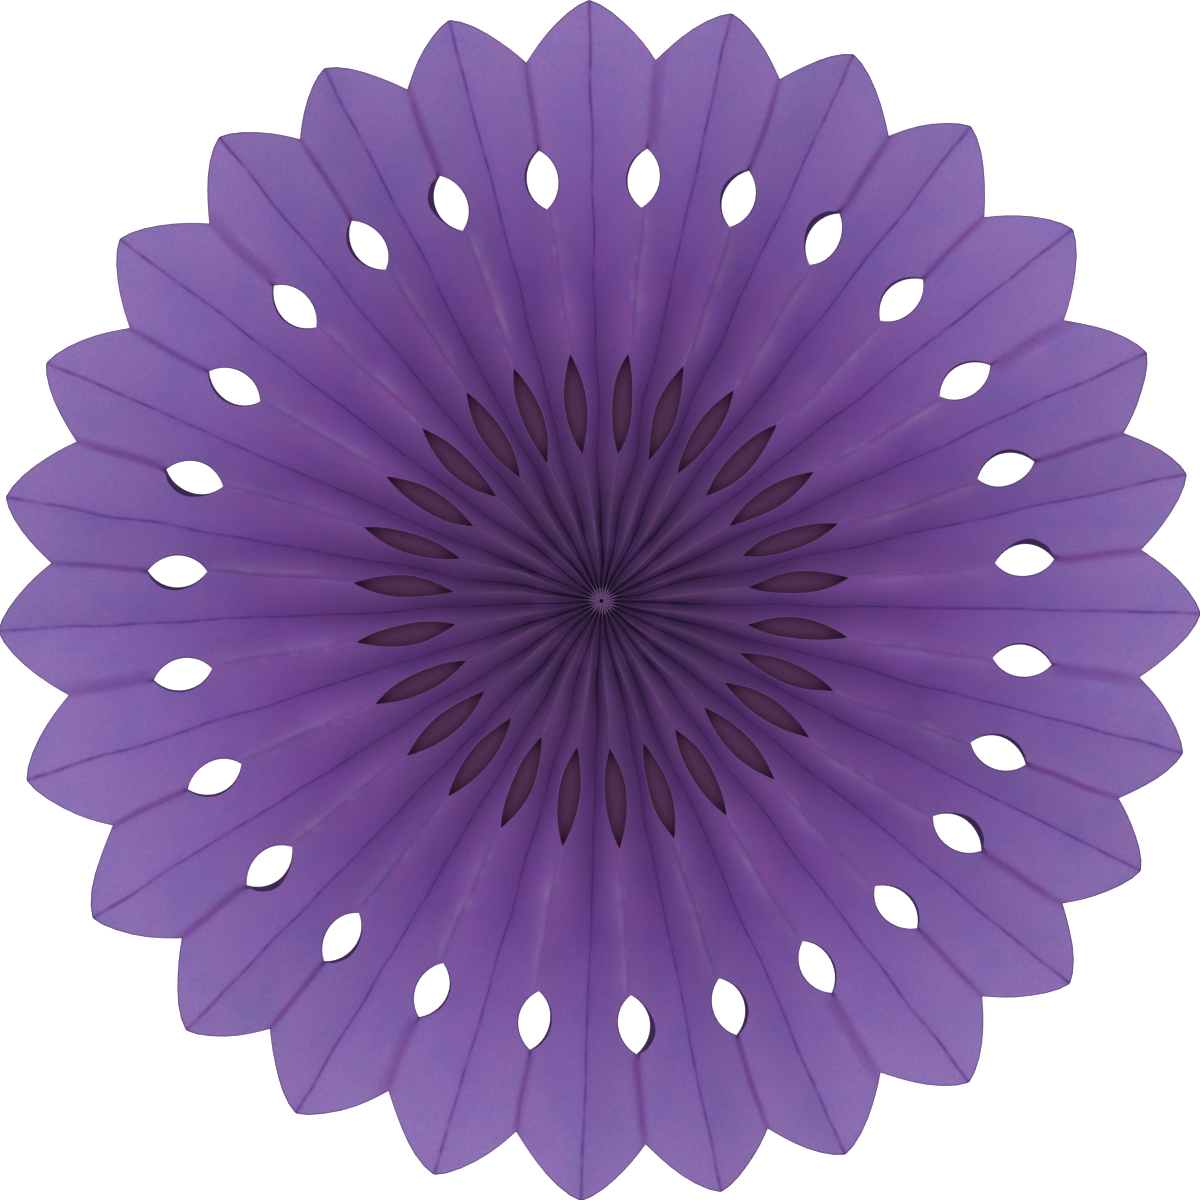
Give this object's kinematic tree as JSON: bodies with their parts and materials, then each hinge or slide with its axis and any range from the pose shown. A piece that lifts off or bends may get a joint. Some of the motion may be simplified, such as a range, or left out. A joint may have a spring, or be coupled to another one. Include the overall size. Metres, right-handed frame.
{
  "type": "paper fan medallion",
  "caption": "Round wall medallion of accordion-pleated tissue paper with a scalloped petal rim and two rings of almond cut-outs.",
  "frame": {"origin": "middle of the hub, on the plane that the back folds lie in", "axes": "+Z out of the front of the fan, along its axis; +Y towards the top of the fan as it hangs; +X to the right of a person who looks at its front"},
  "size_m": [0.4073, 0.4067, 0.0245],
  "materials": {
    "purple_tissue": "thin purple tissue paper, matt, with creases along the folds",
    "binding_thread": "dark purple sewing thread"
  },
  "bodies": {
    "root": {"paper_fan": "purple_tissue", "hub_thread": "binding_thread"}
  },
  "joints": []
}
